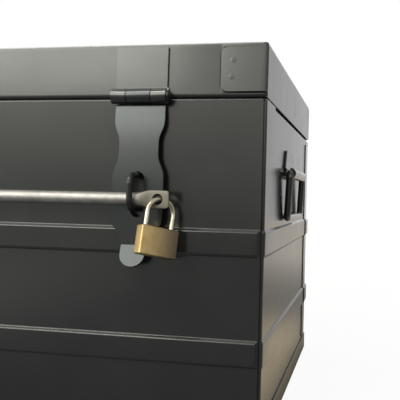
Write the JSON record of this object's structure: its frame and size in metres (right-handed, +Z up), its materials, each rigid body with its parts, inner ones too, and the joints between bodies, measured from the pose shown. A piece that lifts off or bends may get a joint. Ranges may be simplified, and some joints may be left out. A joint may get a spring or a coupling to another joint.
{
  "type": "steel storage trunk",
  "caption": "Folded sheet-steel storage trunk with a hinged lid, hasps closed by a padlocked locking bar, raised bands, and drop handles on its ends.",
  "frame": {"origin": "middle of the underside of the floor pan", "axes": "+X towards the viewer's right along the length, +Y to the back, +Z up; the hasps face -Y"},
  "size_m": [0.9406, 0.5775, 0.3867],
  "materials": {
    "black_enamel": "semi-gloss black enamel",
    "plated_steel": "bright plating",
    "brass": "brushed brass"
  },
  "bodies": {
    "body": {"floor_pan": "black_enamel", "front_panel": "black_enamel", "rear_panel": "black_enamel", "right_panel": "black_enamel", "left_panel": "black_enamel", "rim_frame": "black_enamel", "staple_left": "black_enamel", "staple_right": "black_enamel", "staple_plate_left": "black_enamel", "staple_plate_right": "black_enamel", "rear_hinge_body_leaf_left": "black_enamel", "rear_hinge_body_leaf_right": "black_enamel", "rear_hinge_pin_left": "black_enamel", "rear_hinge_pin_right": "black_enamel", "handle_clip_left": "black_enamel", "handle_clip_right": "black_enamel"},
    "lid": {"lid_shell": "black_enamel", "rear_hinge_lid_leaf_left": "black_enamel", "rear_hinge_lid_leaf_right": "black_enamel", "hasp_leaf_left": "black_enamel", "hasp_leaf_right": "black_enamel", "hasp_pin_left": "black_enamel", "hasp_pin_right": "black_enamel"},
    "hasp_left": {"hasp_strap_left": "black_enamel"},
    "hasp_right": {"hasp_strap_right": "black_enamel"},
    "bar": {"locking_bar": "plated_steel"},
    "shackle": {"padlock_shackle": "plated_steel"},
    "lock": {"padlock_body": "brass", "padlock_plug": "plated_steel"},
    "bail_left": {"handle_bail_left": "black_enamel"},
    "bail_right": {"handle_bail_right": "black_enamel"}
  },
  "joints": [
    {"name": "lid_hinge", "type": "hinge", "parent": "body", "child": "lid", "pos_m": [0, 0.259, 0.3325], "axis": [-1, 0, 0], "range_deg": [0, 100]},
    {"name": "hasp_left_hinge", "type": "hinge", "parent": "lid", "child": "hasp_left", "pos_m": [-0.334, -0.2645, 0.3345], "axis": [-1, 0, 0], "range_deg": [0, 179]},
    {"name": "hasp_right_hinge", "type": "hinge", "parent": "lid", "child": "hasp_right", "pos_m": [0.334, -0.2645, 0.3345], "axis": [-1, 0, 0], "range_deg": [0, 179]},
    {"name": "bar_slide", "type": "slide", "parent": "body", "child": "bar", "axis": [1, 0, 0], "range_m": [-0.002, 0.012]},
    {"name": "padlock_swing", "type": "hinge", "parent": "bar", "child": "shackle", "pos_m": [0.3587, -0.2795, 0.235], "axis": [0, -1, 0], "range_deg": [-2, 35]},
    {"name": "padlock_open", "type": "slide", "parent": "shackle", "child": "lock", "axis": [-0.0586, -0.207, -0.9766], "range_m": [0, 0.009]},
    {"name": "handle_left_hinge", "type": "hinge", "parent": "body", "child": "bail_left", "pos_m": [-0.4638, -0.012, 0.268], "axis": [0, 1, 0], "range_deg": [0, 170]},
    {"name": "handle_right_hinge", "type": "hinge", "parent": "body", "child": "bail_right", "pos_m": [0.4638, -0.012, 0.268], "axis": [0, -1, 0], "range_deg": [0, 170]}
  ]
}
